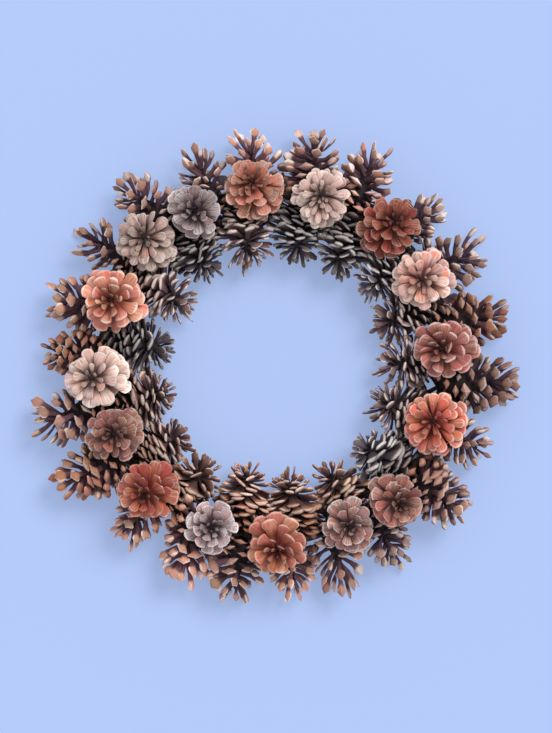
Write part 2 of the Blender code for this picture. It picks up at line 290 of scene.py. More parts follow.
def side_cones(row, facing_row, kind):
    """The cones of one row that lie on their sides, with their stem ends over the ring."""
    cones = []
    for number, (tip_angle, ring_angle, radius, girth, lift, tone, shade) in enumerate(row, 1):
        root = polar(ring_angle, RING_RADIUS, SADDLE_HEIGHT)
        tip = polar(tip_angle, radius * MM, (girth * SIDE_TIP_HEIGHT + lift) * MM)
        facing = min(abs((other[1] - ring_angle + 180) % 360 - 180) for other in facing_row)
        start = float(np.interp(facing, FACING_ANGLES, SIDE_STARTS))
        base = root + (tip - root).normalized() * start
        spin = number * GOLDEN_ANGLE
        node = f"{kind}_cone_{number:02d}"
        cones.append(Cone(node, tone, base, tip, girth * MM, spin, SHADES[shade]))
    return cones


def flower_cones():
    """The cones of the top row, each one growing from a point over the ring."""
    cones = []
    for number, (angle, radius, girth, length, tone, *_, shade) in enumerate(FLOWERS, 1):
        root = polar(angle, RING_RADIUS, SADDLE_HEIGHT)
        middle_height = SADDLE_HEIGHT + FLOWER_START + length * MM / 2
        axis = (polar(angle, radius * MM, middle_height) - root).normalized()
        base = root + axis * FLOWER_START
        tip = base + axis * length * MM
        spin = number * GOLDEN_ANGLE
        node = f"flower_cone_{number:02d}"
        cones.append(Cone(node, tone, base, tip, girth * MM, spin, shade))
    return cones


outer_row = side_cones(OUTWARD, INWARD, "outer")
inner_row = side_cones(INWARD, OUTWARD, "inner")
top_row = flower_cones()
side_rows = outer_row + inner_row
all_cones = side_rows + top_row

# The outer row: ripe pine cones, still shut round the stem and open towards the tip, glued by their
# stalks to the ring. Each scale is a dark finger that ends in a tan rhombic cap, the part that was
# bare while the cone was shut.
SECTION_SIDES = 8
SMOOTH_BELOW = math.radians(75)

# What each point of a scale carries for its finish
MARKS = ("rim", "upper", "chance", "shade", "stem")

# What a scale keeps clear of: near neighbours, the flowers' stalks, the ring, and the solids' box with
# a depth below the table that is pressed flat
NEIGHBOUR_REACH = 2.4
NEIGHBOUR_GAP = 0.3 * MM
INTERLOCK = 2.0
UNDER_FLOWER = 2.5 * MM
STALK_ROOM = 4.5 * MM
RING_ENVELOPE = SHOOT_OFFSET + SHOOT_RADIUS
FLAT_DEPTH = 2.0 * MM
BOX_LOW = np.array(cad_box[0]) - (0, 0, FLAT_DEPTH)
BOX_HIGH = np.array(cad_box[1])

# How a scale that isn't clear is made shorter, step by step, and at last narrower too
SHARE_STEP = 0.05
SMALLEST_SHARE = 0.3
KEPT_WIDTH = 1.4

# How unlike the scales of one cone are. The first four are shares of its habit's unevenness.
REACH_SWING = 0.5
RISE_SWING = 1 / 3
ROLL_SWING = 2
TWIST_SWING = 2
EDGE_WEAR = 0.06
SHADE_SWING = 0.16

# A cone's seed is its number plus this for each letter of its node's name.
SEED_STEP = 100

# The spindle inside a cone: how deep the scales root in it, how narrow it starts, how far past the last
# root it goes, how narrow it ends, and how narrow its stalk gets
CORE_DEPTH = 0.9
SPINDLE_FOOT = 0.6
SPINDLE_TOP = 0.05
SPINDLE_POINT = 0.02
STALK_TAPER = 0.3

# Where the spindle lies on the flat map of a scale: at its dark root, so that it takes the root's
# dark colour and painted shade
ROOT_ON_MAP = (0.5, 0.0)

# Where along a scale its lip and its edges are pale, with wear and a painted highlight, and how much
LIP_PLACES = (0.83, 0.94, 1.0)
LIP_SHARES = (0.0, 0.75, 1.0)
EDGE_PLACES = (0.55, 0.95)
EDGE_SHARES = (0.35, 1.0)

# What counts as its edge and as above its middle, which side its edge is taken for, from 0 for below
# to 1 for above, and how the corners of a cap are drawn in
EDGE_FROM = 0.99
SLACK = 1e-3
EDGE_SIDE = 0.5
CAP_CORNERS_FROM = 0.5
CAP_CORNERS_KEPT = 0.72

# A finger scale: how far along it a section lies, its width, its thickness and its drop
FINGER = (
    (0.00, 0.34, 0.50, 0.00),
    (0.40, 0.38, 0.56, 0.00),
    (0.60, 0.48, 0.66, 0.00),
    (0.76, 0.90, 0.80, 0.03),
    (0.88, 0.96, 0.80, 0.08),
    (1.00, 0.30, 0.34, 0.14),
)

# A habit: how many scales a cone has and how they stand, at seven places from its stem end to its tip.
# Root and rise are the heights of a scale's root and end, in shares of the cone's length. Core and
# reach are their distances from its axis, and with width and thickness they are in shares of its
# girth. Bow is how far the scale's middle hangs, in shares of its own length. Light is its share of
# the cone's shade: painted shade, darker on the scales deep in a cone, near a side cone's stem end
# and at a flower's middle. Stem is its share of the orange of the shut stem end.
PLACES = (0.0, 0.15, 0.30, 0.50, 0.70, 0.85, 1.0)
POSED_BY = ("root", "core", "reach", "rise", "width", "thickness", "bow")
OUTER_HABITS = {
    "open": {
        "count": 56,
        "root": (0.02, 0.08, 0.15, 0.28, 0.46, 0.60, 0.73),
        "core": (0.34, 0.48, 0.57, 0.48, 0.25, 0.13, 0.07),
        "reach": (1.20, 1.34, 1.38, 1.34, 1.20, 0.96, 0.50),
        "rise": (-0.20, -0.02, 0.12, 0.33, 0.62, 0.86, 1.05),
        "width": (0.60, 0.67, 0.68, 0.60, 0.48, 0.38, 0.29),
        "thickness": (0.28, 0.31, 0.32, 0.32, 0.31, 0.28, 0.23),
        "bow": (0.04, 0.04, 0.04, 0.05, 0.08, 0.10, 0.06),
        "light": (0.90, 0.95, 1.00, 1.00, 1.00, 1.00, 1.00),
        "stem": (1.00, 0.90, 0.75, 0.35, 0.05, 0.00, 0.00),
        "unevenness": 0.11,
    },
    "half shut": {
        "count": 76,
        "root": (0.02, 0.10, 0.19, 0.32, 0.46, 0.60, 0.74),
        "core": (0.34, 0.54, 0.66, 0.66, 0.44, 0.16, 0.06),
        "reach": (1.20, 1.30, 1.30, 1.20, 1.06, 0.86, 0.48),
        "rise": (-0.20, 0.04, 0.20, 0.40, 0.60, 0.85, 1.03),
        "width": (0.46, 0.54, 0.58, 0.60, 0.56, 0.48, 0.36),
        "thickness": (0.32, 0.37, 0.39, 0.38, 0.35, 0.30, 0.23),
        "bow": (0.03, 0.03, 0.03, 0.03, 0.05, 0.09, 0.06),
        "light": (0.90, 0.95, 1.00, 1.00, 1.00, 1.00, 1.00),
        "stem": (1.00, 0.90, 0.80, 0.50, 0.15, 0.00, 0.00),
        "unevenness": 0.07,
    },
}

# The numbers of the outer cones that are half shut
HALF_SHUT = (4, 6, 7, 9, 14, 15, 16, 18, 19)

# A tone: the colours of a scale's dark root, partly its own colour and partly painted shade deep
# among the scales, its body, the patches and the streaks on it, its rim, pale from wear and a painted
# highlight, and its underside, darker partly as painted shade
OUTER_TONES = {
    "tan": {
        "Dark Root And Shade": (0.105, 0.048, 0.058),
        "Blade": (0.37, 0.20, 0.145),
        "Blush": (0.48, 0.18, 0.085),
        "Bloom": (0.60, 0.46, 0.41),
        "Rim": (0.73, 0.59, 0.53),
        "Back": (0.36, 0.19, 0.14),
    },
    "honey": {
        "Dark Root And Shade": (0.125, 0.055, 0.062),
        "Blade": (0.50, 0.28, 0.20),
        "Blush": (0.58, 0.24, 0.125),
        "Bloom": (0.64, 0.48, 0.425),
        "Rim": (0.70, 0.57, 0.51),
        "Back": (0.44, 0.22, 0.15),
    },
    "russet": {
        "Dark Root And Shade": (0.115, 0.048, 0.056),
        "Blade": (0.42, 0.20, 0.135),
        "Blush": (0.48, 0.18, 0.09),
        "Bloom": (0.58, 0.38, 0.30),
        "Rim": (0.68, 0.48, 0.38),
        "Back": (0.36, 0.15, 0.09),
    },
    "ash": {
        "Dark Root And Shade": (0.088, 0.044, 0.062),
        "Blade": (0.34, 0.188, 0.128),
        "Blush": (0.46, 0.165, 0.080),
        "Bloom": (0.56, 0.43, 0.37),
        "Rim": (0.72, 0.58, 0.51),
        "Back": (0.31, 0.20, 0.16),
    },
}


def loft(name, stations):
    """A disc one unit across, extruded along +Y through the stations, in shares of that unit."""
    deselect_all()
    bpy.ops.mesh.primitive_circle_add(
        vertices=SECTION_SIDES, radius=0.5, fill_type="NGON", rotation=(math.pi / 2, 0, 0)
    )
    lofted = bpy.context.object
    lofted.name = lofted.data.name = name
    bpy.ops.object.transform_apply(rotation=True)
    bpy.ops.object.mode_set(mode="EDIT")
    last_place, last_width, last_thickness, last_drop = 0.0, 1.0, 1.0, 0.0
    for place, width, thickness, drop in stations:
        if place > 0:
            move = {"value": (0, place - last_place, last_drop - drop)}
            bpy.ops.mesh.extrude_region_move(TRANSFORM_OT_translate=move)
        bpy.ops.transform.resize(
            value=(width / last_width, 1, thickness / last_thickness),
            center_override=(0, place, -drop),
        )
        last_place, last_width, last_thickness, last_drop = place, width, thickness, drop
    bpy.ops.mesh.poke()
    bpy.ops.mesh.select_all(action="SELECT")
    bpy.ops.mesh.normals_make_consistent(inside=False)
    bpy.ops.object.mode_set(mode="OBJECT")
    return lofted


def mark_scale(scale, stations, roundness, dish, rim_from, upper_share=1.0, capped=False):
    """Rounds the scale's end, dishes its upper side or keeps only a share of it, and draws in the
    corners of a cap. Then writes its flat map and its marks, with the rim from rim_from on."""
    mesh = scale.data
    points = np.empty(len(mesh.vertices) * 3)
    mesh.vertices.foreach_get("co", points)
    points = points.reshape(-1, 3)
    places = np.array([station[0] for station in stations])
    widths = np.interp(points[:, 1], places, [station[1] for station in stations])
    drops = np.interp(points[:, 1], places, [station[3] for station in stations])
    across = points[:, 0] / (widths / 2)
    height = points[:, 2] + drops
    upper = height > SLACK
    on_edge = np.abs(across) > EDGE_FROM
    lip = np.interp(points[:, 1], LIP_PLACES, LIP_SHARES)
    rim = np.where(on_edge, np.interp(points[:, 1], EDGE_PLACES, EDGE_SHARES), lip)
    rim = np.where(height < -SLACK, 0.0, rim)
    if capped:
        corner = (np.abs(across) > CAP_CORNERS_FROM) & ~on_edge & (points[:, 1] > rim_from)
        points[corner, 0] *= CAP_CORNERS_KEPT
        height[corner] *= CAP_CORNERS_KEPT
        points[corner, 2] = height[corner] - drops[corner]
        # The whole upper side of a cap is rim: partly weathered pale, partly a painted highlight on top
        rim = np.where(height > -SLACK, 1.0, 0.0)
    marks = {
        "rim": np.where(points[:, 1] > rim_from, rim, 0.0),
        "upper": np.where(upper, 1.0, np.where(on_edge, EDGE_SIDE, 0.0)),
        "chance": np.zeros(len(points)),
        "shade": np.ones(len(points)),
        "stem": np.zeros(len(points)),
    }
    points[:, 2] -= np.where(upper, (1 - upper_share) * height, 0.0)
    points[:, 2] -= np.where(upper, dish * (1 - across**2) * points[:, 1], 0.0)
    points[:, 1] -= roundness * points[:, 1] ** 3 * across**2
    mesh.vertices.foreach_set("co", points.ravel())
    for name, values in marks.items():
        mesh.attributes.new(name, "FLOAT", "POINT").data.foreach_set("value", values)
    corners = np.empty(len(mesh.loops), int)
    mesh.loops.foreach_get("vertex_index", corners)
    flat = np.stack([across[corners] / 2 + 0.5, points[corners, 1]], axis=1)
    mesh.uv_layers["UVMap"].uv.foreach_set("vector", flat.ravel())


def line_distance(start, end, points):
    """How far each point is from the straight line between two ends."""
    start = np.array(start)
    run = np.array(end) - start
    along = np.clip((points - start) @ run / (run @ run), 0, 1)
    return np.linalg.norm(points - start - along[..., None] * run, axis=-1)


def crowding(cone, points):
    """How far each point is from the cone's axis, as a share of the cone's girth."""
    return line_distance(cone.base, cone.base + cone.axis * cone.length, points) / cone.girth


def ring_distance(points):
    """How far each point is from the line that runs round the middle of the ring."""
    outward = np.hypot(points[..., 0] - ring_middle.x, points[..., 1] - ring_middle.y) - RING_RADIUS
    return np.hypot(outward, points[..., 2] - RING_HEIGHT)


def is_free(cone, neighbours, points):
    """True for each scale that is off the ring, inside the wreath's own box, and no deeper in a
    neighbour than side cones interlock. Under a flower it only keeps clear of the stalk."""
    own = crowding(cone, points) + NEIGHBOUR_GAP / cone.girth
    free = np.all((points > BOX_LOW) & (points < BOX_HIGH), axis=-1)
    free &= ring_distance(points) > RING_ENVELOPE
    for other in neighbours:
        both_lie = cone in side_rows and other in side_rows
        apart = own < crowding(other, points) * (INTERLOCK if both_lie else 1.0)
        if cone in side_rows and other in top_row:
            under = (points - np.array(other.base)) @ np.array(other.axis) < -UNDER_FLOWER
            foot = other.base - other.axis * (other.base.z / other.axis.z)
            apart |= under & (line_distance(foot, other.base, points) > STALK_ROOM)
        free &= apart
    return np.all(free, axis=-1)


def posed_scales(cone, shape, habit, chance):
    """Points of all the cone's scales, each one a copy of the shape set in the spiral and fitted.
    A scale that isn't free is made shorter until it is, and the table presses the lowest flat."""
    count = habit["count"]
    place = (np.arange(count) + 0.5) / count
    value = {name: np.interp(place, PLACES, habit[name]) for name in POSED_BY}
    uneven = habit["unevenness"] * (1 + place)
    turn = np.arange(count) * GOLDEN_ANGLE
    outward = np.stack([np.cos(turn), np.sin(turn), np.zeros(count)], axis=1)
    lean = turn + chance.normal(0, uneven)
    tipward = np.stack([np.cos(lean), np.sin(lean), np.zeros(count)], axis=1)
    root = outward * (value["core"] * cone.girth * CORE_DEPTH)[:, None]
    root[:, 2] = cone.length * value["root"]
    reach = value["reach"] * cone.girth * (1 - np.abs(chance.normal(0, uneven * REACH_SWING)))
    tip = tipward * reach[:, None]
    tip[:, 2] = cone.length * (value["rise"] + chance.normal(0, uneven * RISE_SWING))
    along = tip - root
    length = np.linalg.norm(along, axis=1)
    across = np.stack([np.sin(lean), -np.cos(lean), np.zeros(count)], axis=1)
    upper = np.cross(across, along / length[:, None])
    upper /= np.linalg.norm(upper, axis=1)[:, None]
    roll = chance.normal(0, uneven * ROLL_SWING)[:, None]
    turned = across * np.cos(roll) + upper * np.sin(roll)
    upper = upper * np.cos(roll) - across * np.sin(roll)
    width = value["width"] * cone.girth * chance.normal(1, uneven)
    thickness = value["thickness"] * cone.girth * chance.normal(1, uneven)
    twist = chance.normal(0, uneven * TWIST_SWING)
    x, y, z = shape.T
    worn = chance.normal(1, EDGE_WEAR, (count, len(shape)))
    # The arch is one unit deep halfway along the scale.
    arch = -4 * y * (1 - y)
    near = [
        other
        for other in all_cones
        if other is not cone
        and (other.base - cone.base).length < NEIGHBOUR_REACH * (cone.girth + other.girth)
    ]
    points = np.empty((count, len(shape), 3))
    todo = np.arange(count)
    share = 1.0
    while len(todo) and share > SMALLEST_SHARE:
        narrow = min(1.0, KEPT_WIDTH * share)
        line = root[todo, None] + along[todo, None] * (y * share)[None, :, None]
        side = turned[todo, None] * (width[todo, None] * x * worn[todo] * narrow)[..., None]
        lift = z * worn[todo] * thickness[todo, None] * narrow
        lift = lift + arch * (value["bow"] * length)[todo, None] * share
        lift = lift + twist[todo, None] * x * y * width[todo, None] * narrow
        local = line + side + upper[todo, None] * lift[..., None]
        placed = local @ cone.matrix[:3, :3].T + cone.matrix[:3, 3]
        points[todo] = placed
        todo = todo[~is_free(cone, near, placed)]
        share -= SHARE_STEP
    points[..., 2] = np.maximum(points[..., 2], 0.0)
    return points


def dress_cone(cone, shape_of, habit, material, piece):
    """Copies the scale once for each place on the cone, joins the copies and sets the finish."""
    chance = np.random.default_rng(int(cone.node[-2:]) + len(cone.node) * SEED_STEP)
    shape = np.empty(len(shape_of.data.vertices) * 3)
    shape_of.data.vertices.foreach_get("co", shape)
    points = posed_scales(cone, shape.reshape(-1, 3), habit, chance)
    luck = chance.random(len(points))
    place = (np.arange(len(points)) + 0.5) / len(points)
    # The cone's shade, with painted shade deep in the cone from the habit's light, and a random swing
    shades = cone.shade * np.interp(place, PLACES, habit["light"])
    shades *= 1 + SHADE_SWING * chance.uniform(-1, 1, len(points))
    stems = np.interp(place, PLACES, habit["stem"])
    copies = []
    for number, corners in enumerate(points):
        mesh = shape_of.data.copy()
        mesh.vertices.foreach_set("co", corners.ravel())
        for name, values in (("chance", luck), ("shade", shades), ("stem", stems)):
            mesh.attributes[name].data.foreach_set("value", np.full(len(corners), values[number]))
        copy = bpy.data.objects.new(piece, mesh)
        bpy.context.scene.collection.objects.link(copy)
        copies.append(copy)
    spindle = add_spindle(cone, habit)
    deselect_all()
    for copy in copies:
        copy.select_set(True)
    spindle.select_set(True)
    bpy.context.view_layer.objects.active = spindle
    bpy.ops.object.join()
    whole = bpy.context.object
    whole.name = whole.data.name = piece
    whole.data.materials.clear()
    whole.data.materials.append(material)
    bpy.ops.object.shade_smooth_by_angle(angle=SMOOTH_BELOW)
    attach(whole, "root")
    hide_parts(cone.node)
    return whole


def add_spindle(cone, habit):
    """The woody heart that the scales grow from, with the stalk that is glued to the ring."""
    foot_radius = habit["core"][0] * SPINDLE_FOOT
    heights = np.array((0.0, *habit["root"], habit["root"][-1] + SPINDLE_TOP)) * cone.length
    radii = np.array((foot_radius, *habit["core"], SPINDLE_POINT)) * cone.girth
    top = heights[-1]
    stations = [(height / top, 2 * radius, 2 * radius, 0) for height, radius in zip(heights, radii)]
    spindle = loft("spindle", stations)
    spindle.data.transform(Matrix.Diagonal((1, top, 1, 1)))
    spindle.data.transform(Matrix(cone.matrix.tolist()) @ Matrix.Rotation(math.pi / 2, 4, "X"))
    away = cone.base - ring_middle
    over_ring = Vector((away.x, away.y, 0)).normalized() * RING_RADIUS + ring_middle
    over_ring.z = RING_HEIGHT
    stalk = (cone.base - over_ring) * (1 - RING_ENVELOPE / (cone.base - over_ring).length)
    for corner in spindle.data.vertices:
        depth = RING_ENVELOPE + NEIGHBOUR_GAP - ring_distance(np.array(corner.co))
        if depth > 0:
            corner.co += (corner.co - over_ring).normalized() * depth
    foot = min(spindle.data.polygons, key=lambda face: face.normal.dot(cone.axis))
    foot_number, foot_middle = foot.index, foot.center.copy()
    bpy.ops.object.mode_set(mode="EDIT")
    bpy.ops.mesh.select_mode(type="FACE")
    bpy.ops.mesh.select_all(action="DESELECT")
    bpy.ops.object.mode_set(mode="OBJECT")
    spindle.data.polygons[foot_number].select = True
    bpy.ops.object.mode_set(mode="EDIT")
    bpy.ops.mesh.extrude_region_move(TRANSFORM_OT_translate={"value": -stalk})
    bpy.ops.transform.resize(value=(STALK_TAPER,) * 3, center_override=foot_middle - stalk)
    bpy.ops.object.mode_set(mode="OBJECT")
    for name in MARKS:
        spindle.data.attributes.new(name, "FLOAT", "POINT")
    for corner in spindle.data.uv_layers.active.uv:
        corner.vector = ROOT_ON_MAP
    return spindle


# The finish of every scale: dark towards its root, partly its own colour and partly painted shade
# deep among the scales, streaked along, blushed in patches, bleached by weather, and pale along the
# rim from wear and a painted highlight. Each material places it with its own colours and amounts.
FINISH_COLOURS = ("Dark Root And Shade", "Blade", "Blush", "Bloom", "Rim", "Back")
FINISH_AMOUNTS = (
    "Dark Root And Shade Reach",
    "Dark Root And Shade Fade",
    "Rim Start",
    "Rim Fade",
    "Rim Least",
    "Blush Share",
    "Bloom Share",
    "Streaking",
)
LUCK_SPREAD = 90.0
STREAK_STRETCH = 7.0
STREAKS = {"Scale": 1.6, "Detail": 4.0}
PATCHES = {"Scale": 130.0, "Detail": 2.0}
GRIT = {"Scale": 1300.0, "Detail": 3.0}
STREAK_RELIEF = 0.45
GRIT_RELIEF = 0.3
SCALE_RELIEF = {"Strength": 0.7, "Distance": 0.5 * MM}
SCALE_GLOSS = 0.3

# Steps: the first two values are of what is read, and the other two what the step gives at them
BLUSH_BY_LUCK = (0.2, 1.0, 0.3, 1.5)
BLUSH_BY_PATCH = (0.42, 0.66)
BLOOM_BY_LUCK = (0.2, 0.9, 0.5, 1.5)
BLOOM_BY_STREAK = (0.59, 0.91)
WEAR_BY_STEM = (0.0, 1.0, 1.0, 0.3)
WEAR_BY_PATCH = (0.38, 0.58, 0.75, 1.0)
BACK_BY_SIDE = (0.45, 0.2)
RIM_BY_LUCK = (0.0, 0.8)
SHADE_BY_STREAK = (0.25, 0.75, -0.5, 0.5)
HUE_BY_LUCK = (0.0, 1.0, 0.492, 0.508)
ROUGHNESS_BY_GRIT = (0.2, 0.8, 0.62, 0.9)

# How much the bloom grows along a scale, the stem end blushes, and streaks fray the edge of the dark
# root and its painted shade
BLOOM_ALONG = 0.3
STEM_BLUSH = 0.9
ROOT_FRAY = 0.16


def maths(tree, operation, *values):
    """What the operation makes of the values, each one a number or another node's output."""
    return add_node(tree, "ShaderNodeMath", dict(enumerate(values)), operation=operation).outputs[0]


def weathered_scale():
    """The finish as a group of nodes, which read the flat map and the marks of each scale."""
    group = bpy.data.node_groups.new("weathered_scale", "ShaderNodeTree")
    for name in FINISH_COLOURS:
        group.interface.new_socket(name, in_out="INPUT", socket_type="NodeSocketColor")
    for name in FINISH_AMOUNTS:
        group.interface.new_socket(name, in_out="INPUT", socket_type="NodeSocketFloat")
    group.interface.new_socket("Colour", in_out="OUTPUT", socket_type="NodeSocketColor")
    group.interface.new_socket("Roughness", in_out="OUTPUT", socket_type="NodeSocketFloat")
    group.interface.new_socket("Height", in_out="OUTPUT", socket_type="NodeSocketFloat")
    given = group.nodes.new("NodeGroupInput").outputs
    given_back = group.nodes.new("NodeGroupOutput").inputs
    mark = {
        name: add_node(group, "ShaderNodeAttribute", attribute_name=name).outputs["Fac"]
        for name in MARKS
    }
    here = add_node(group, "ShaderNodeTexCoord").outputs["Object"]
    flat = add_node(group, "ShaderNodeUVMap", uv_map="UVMap").outputs["UV"]
    parted = add_node(group, "ShaderNodeSeparateXYZ", {"Vector": flat}).outputs
    across, along = parted["X"], parted["Y"]

    # Each scale has its own luck, a second one made from it, and its own part of the streaks.
    luck = mark["chance"]
    own_place = maths(group, "MULTIPLY", luck, LUCK_SPREAD)
    second_luck = maths(group, "SQRT", maths(group, "FRACT", own_place))
    stretched = {"X": maths(group, "MULTIPLY", across, STREAK_STRETCH), "Y": along, "Z": own_place}
    streak_place = add_node(group, "ShaderNodeCombineXYZ", stretched).outputs["Vector"]
    streaks = noise(group, streak_place, STREAKS)
    patches = noise(group, here, PATCHES)
    grit = noise(group, here, GRIT)

    # The body blushes in patches and near the stem, and bleaches in streaks. The underside doesn't.
    wear = ramp(group, mark["stem"], *WEAR_BY_STEM)
    blush = maths(group, "MULTIPLY", ramp(group, second_luck, *BLUSH_BY_LUCK), given["Blush Share"])
    blush = maths(group, "MULTIPLY", ramp(group, patches, *BLUSH_BY_PATCH), blush)
    blush = maths(group, "MULTIPLY_ADD", mark["stem"], STEM_BLUSH, blush)
    bloom = maths(group, "MULTIPLY", ramp(group, luck, *BLOOM_BY_LUCK), given["Bloom Share"])
    bloom = maths(group, "MULTIPLY", bloom, wear)
    streaks_along = maths(group, "MULTIPLY_ADD", along, BLOOM_ALONG, streaks)
    bloom = maths(group, "MULTIPLY", ramp(group, streaks_along, *BLOOM_BY_STREAK), bloom)
    colour = mix_colours(group, blush, given["Blade"], given["Blush"])
    colour = mix_colours(group, bloom, colour, given["Bloom"])
    # The underside takes the darker back colour, partly its own and partly painted shade
    colour = mix_colours(group, ramp(group, mark["upper"], *BACK_BY_SIDE), colour, given["Back"])

    # The root is dark, partly its own colour and partly painted shade deep among the scales, up to a
    # frayed edge.
    frayed = maths(group, "MULTIPLY_ADD", streaks, ROOT_FRAY, along)
    heart_end = maths(group, "ADD", given["Dark Root And Shade Reach"], given["Dark Root And Shade Fade"])
    heart = ramp(group, frayed, given["Dark Root And Shade Reach"], heart_end, 1.0, 0.0)
    colour = mix_colours(group, heart, colour, given["Dark Root And Shade"])

    # The rim is pale, partly with wear and partly as a painted highlight on edges that catch the light,
    # less so near the stem and on some scales.
    rim_end = maths(group, "ADD", given["Rim Start"], given["Rim Fade"])
    rim = ramp(group, mark["rim"], given["Rim Start"], rim_end)
    rim = maths(group, "MULTIPLY", rim, ramp(group, luck, *RIM_BY_LUCK, given["Rim Least"], 1.0))
    wear = maths(group, "MULTIPLY", ramp(group, patches, *WEAR_BY_PATCH), wear)
    rim = maths(group, "MULTIPLY", rim, wear)
    colour = mix_colours(group, rim, colour, given["Rim"])

    # Streaks and the scale's shade make it lighter or darker, and its luck turns its hue a little. The
    # shade holds the cone's tone, a random swing and painted shade deep in the cone.
    streak_shade = ramp(group, streaks, *SHADE_BY_STREAK)
    shade = maths(group, "MULTIPLY_ADD", streak_shade, given["Streaking"], mark["shade"])
    hue = ramp(group, luck, *HUE_BY_LUCK)
    shaded = {"Color": colour, "Hue": hue, "Value": shade}
    colour = add_node(group, "ShaderNodeHueSaturation", shaded).outputs["Color"]
    grit_height = maths(group, "MULTIPLY", grit, GRIT_RELIEF)
    height = maths(group, "MULTIPLY_ADD", streaks, STREAK_RELIEF, grit_height)
    group.links.new(colour, given_back["Colour"])
    group.links.new(ramp(group, grit, *ROUGHNESS_BY_GRIT), given_back["Roughness"])
    group.links.new(height, given_back["Height"])
    return group


weathering = weathered_scale()


def scale_material(name, colours, amounts):
    """A material that places the finish of the scales with its own colours and amounts."""
    material = bpy.data.materials.new(name)
    material.use_nodes = True
    tree = material.node_tree
    inputs = {part: (*colour, 1) for part, colour in colours.items()} | amounts
    finish = add_node(tree, "ShaderNodeGroup", inputs, node_tree=weathering)
    shader = tree.nodes["Principled BSDF"]
    shader.inputs["Specular IOR Level"].default_value = SCALE_GLOSS
    bump = add_node(tree, "ShaderNodeBump", {"Height": finish.outputs["Height"]} | SCALE_RELIEF)
    tree.links.new(finish.outputs["Colour"], shader.inputs["Base Color"])
    tree.links.new(finish.outputs["Roughness"], shader.inputs["Roughness"])
    tree.links.new(bump.outputs["Normal"], shader.inputs["Normal"])
    return material


finger = loft("finger_scale", FINGER)
mark_scale(finger, FINGER, roundness=0.05, dish=0.0, rim_from=0.7, upper_share=0.95, capped=True)

# How far the dark root and its painted shade reach along a scale and fade, where the pale rim starts
# and how it fades, the least that a rim shows, and how strong the patches, the bleaching and the
# streaks are
CAP_FINISH = {
    "Dark Root And Shade Reach": 0.66,
    "Dark Root And Shade Fade": 0.14,
    "Rim Start": 0.25,
    "Rim Fade": 0.60,
    "Rim Least": 0.30,
    "Blush Share": 0.6,
    "Bloom Share": 0.6,
    "Streaking": 0.3,
}
outer_finishes = {
    tone: scale_material(f"{tone}_scales", colours, CAP_FINISH)
    for tone, colours in OUTER_TONES.items()
}
for number, cone in enumerate(outer_row, 1):
    habit = OUTER_HABITS["half shut" if number in HALF_SHUT else "open"]
    dressed = dress_cone(cone, finger, habit, outer_finishes[cone.tone], f"open_{cone.node}")

# The inner row: older cones gone grey, with thinner and closer scales. Their rims show as pale
# crescents, partly bleached with wear and partly a painted highlight. They lie on their sides with
# their tips over the hole, glued to the ring.

# A tongue scale, the same values as a finger's
TONGUE = (
    (0.00, 0.40, 0.50, 0.00),
    (0.36, 0.60, 0.66, 0.00),
    (0.66, 0.84, 0.90, 0.00),
    (0.84, 1.00, 1.10, 0.02),
    (0.94, 0.96, 1.10, 0.08),
    (1.00, 0.70, 0.70, 0.16),
)

# Most cones bristle like a brush. Those at the bottom of the photo have fewer and broader scales.
BRUSH = {
    "count": 124,
    "root": (0.08, 0.22, 0.34, 0.51, 0.65, 0.75, 0.82),
    "core": (0.24, 0.28, 0.34, 0.38, 0.36, 0.28, 0.12),
    "reach": (1.40, 1.60, 1.66, 1.56, 1.26, 0.88, 0.36),
    "rise": (-0.16, 0.00, 0.13, 0.34, 0.62, 0.88, 1.02),
    "width": (0.50, 0.57, 0.58, 0.52, 0.39, 0.25, 0.15),
    "thickness": (0.13, 0.15, 0.16, 0.17, 0.16, 0.13, 0.11),
    "bow": (0.04, 0.04, 0.04, 0.04, 0.06, 0.08, 0.05),
    "light": (0.60, 0.72, 0.86, 1.00, 1.00, 1.00, 0.90),
    "stem": (1.00, 0.80, 0.55, 0.25, 0.00, 0.00, 0.00),
    "unevenness": 0.085,
}
BROAD = BRUSH | {
    "count": 104,
    "reach": (1.40, 1.58, 1.60, 1.46, 1.16, 0.82, 0.34),
    "rise": (-0.16, 0.00, 0.13, 0.34, 0.62, 0.86, 1.00),
    "width": (0.50, 0.58, 0.62, 0.60, 0.50, 0.34, 0.20),
    "light": (0.70, 0.80, 0.90, 1.00, 1.00, 1.00, 0.90),
}

# The numbers of the inner cones with broad scales
BROAD_SCALED = (11, 12, 13, 14, 15, 16)
INNER_TONES = {
    "soot": {
        "Dark Root And Shade": (0.105, 0.078, 0.096),
        "Blade": (0.135, 0.100, 0.100),
        "Blush": (0.23, 0.140, 0.120),
        "Bloom": (0.28, 0.240, 0.225),
        "Rim": (0.52, 0.49, 0.455),
        "Back": (0.130, 0.098, 0.102),
    },
    "peat": {
        "Dark Root And Shade": (0.115, 0.070, 0.078),
        "Blade": (0.185, 0.110, 0.094),
        "Blush": (0.30, 0.140, 0.098),
        "Bloom": (0.33, 0.25, 0.22),
        "Rim": (0.54, 0.46, 0.42),
        "Back": (0.175, 0.110, 0.100),
    },
    "loam": {
        "Dark Root And Shade": (0.118, 0.064, 0.068),
        "Blade": (0.240, 0.118, 0.088),
        "Blush": (0.40, 0.140, 0.075),
        "Bloom": (0.37, 0.24, 0.195),
        "Rim": (0.60, 0.48, 0.42),
        "Back": (0.20, 0.115, 0.095),
    },
    "chestnut": {
        "Dark Root And Shade": (0.120, 0.062, 0.058),
        "Blade": (0.34, 0.140, 0.080),
        "Blush": (0.50, 0.160, 0.062),
        "Bloom": (0.44, 0.25, 0.18),
        "Rim": (0.64, 0.47, 0.39),
        "Back": (0.24, 0.125, 0.095),
    },
}

